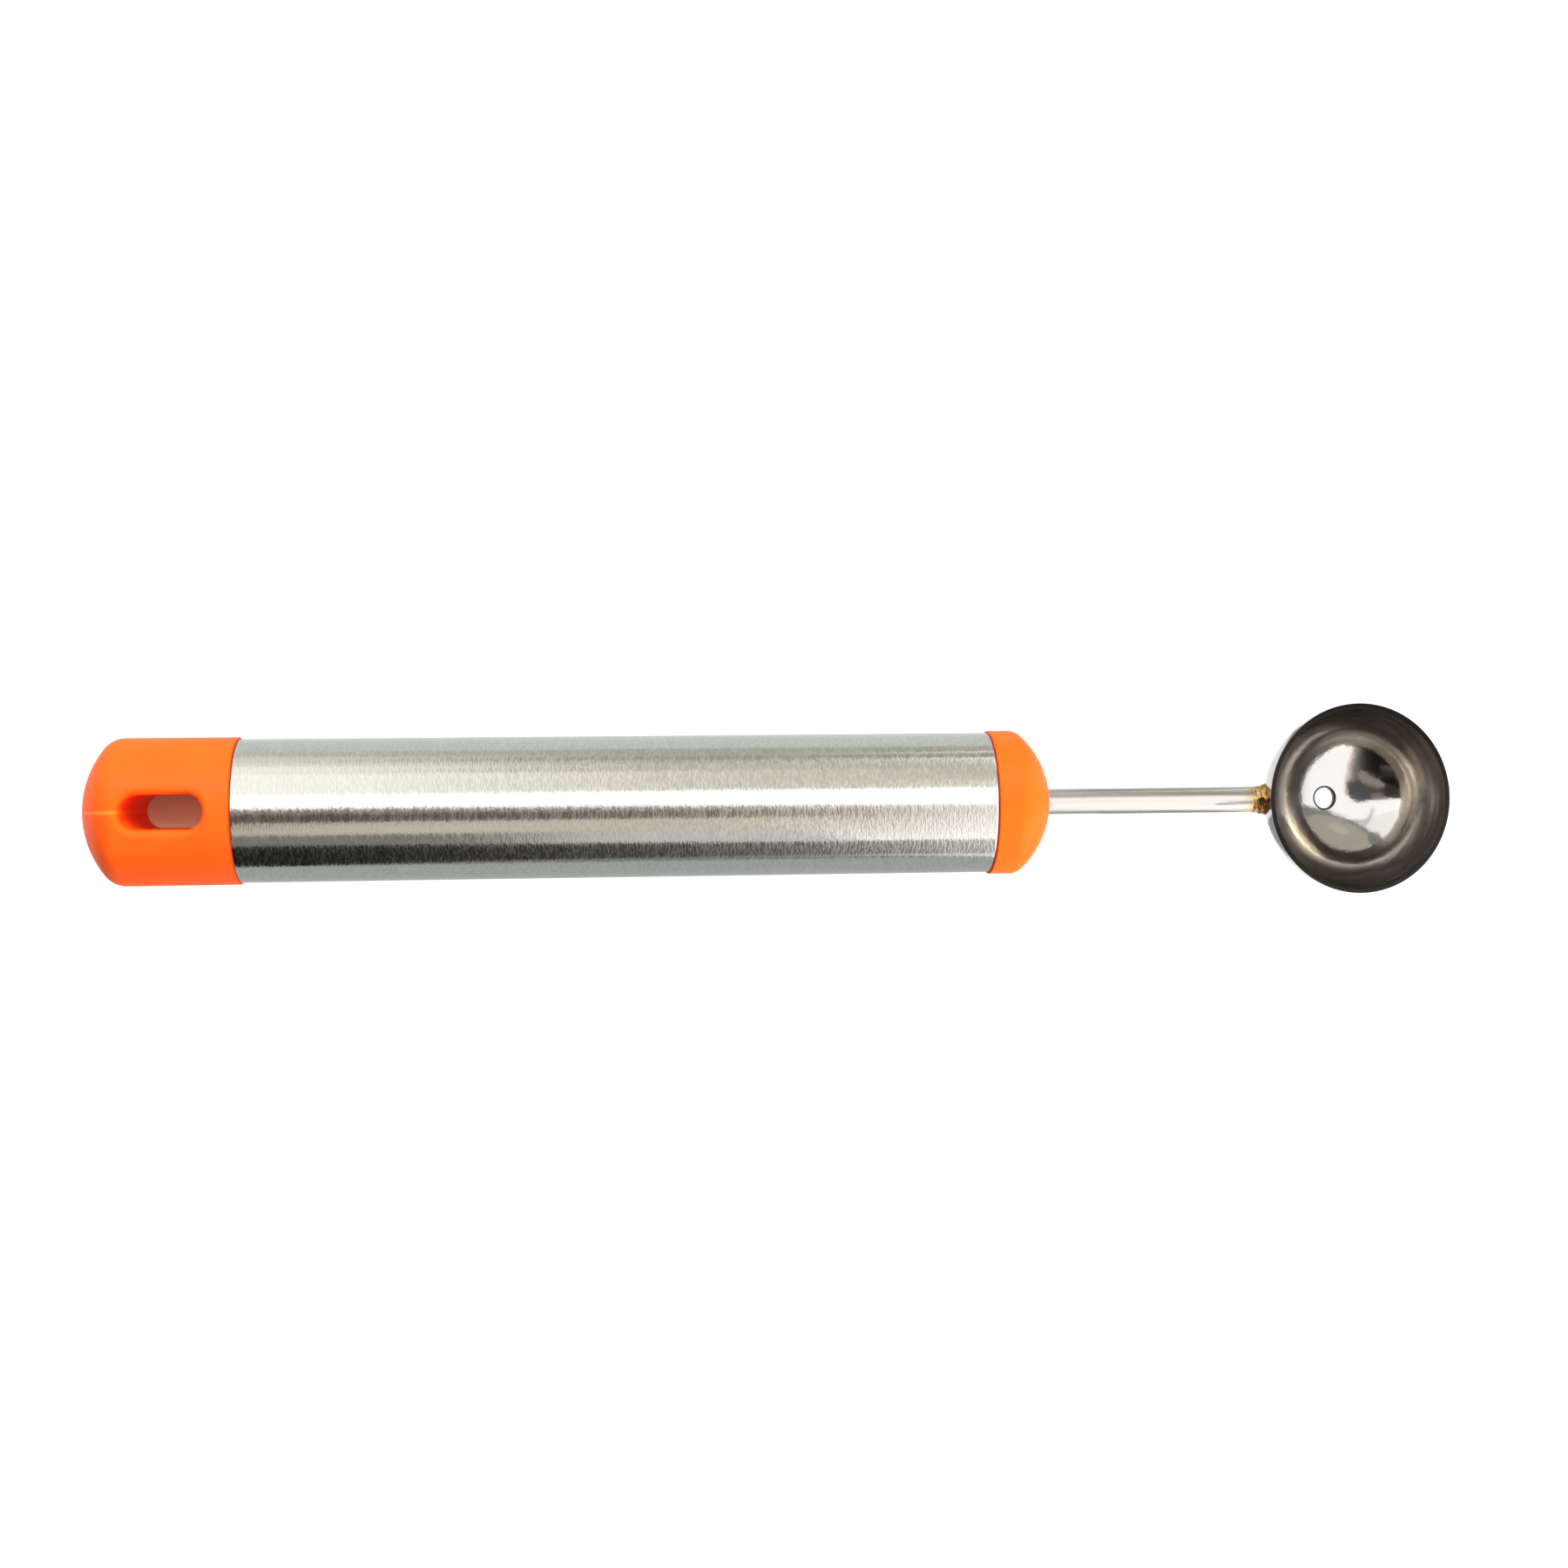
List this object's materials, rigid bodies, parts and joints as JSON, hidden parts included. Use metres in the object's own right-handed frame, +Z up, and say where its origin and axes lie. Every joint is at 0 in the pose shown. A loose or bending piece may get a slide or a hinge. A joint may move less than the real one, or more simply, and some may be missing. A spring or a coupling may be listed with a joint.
{
  "type": "melon baller",
  "caption": "Melon baller: polished half-ball scoop with a vent hole, welded to a thin rod, and a brushed steel tube handle between orange plastic end caps, the rear one slotted for hanging.",
  "frame": {"origin": "middle of the tool's length and width, on the surface it lies on", "axes": "+X runs along the handle from the hanging end to the bowl, +Z is up, the way the bowl opens, and +Y is across"},
  "size_m": [0.1797, 0.0254, 0.019],
  "materials": {
    "cap_plastic": "satin",
    "tube_steel": "satin",
    "rod_steel": "satin",
    "weld_steel": "satin",
    "bowl_steel": "polished"
  },
  "bodies": {
    "root": {"rear_cap": "cap_plastic", "handle_tube": "tube_steel", "front_cap": "cap_plastic", "neck_rod": "rod_steel", "weld_bead": "weld_steel", "scoop_bowl": "bowl_steel"}
  },
  "joints": []
}
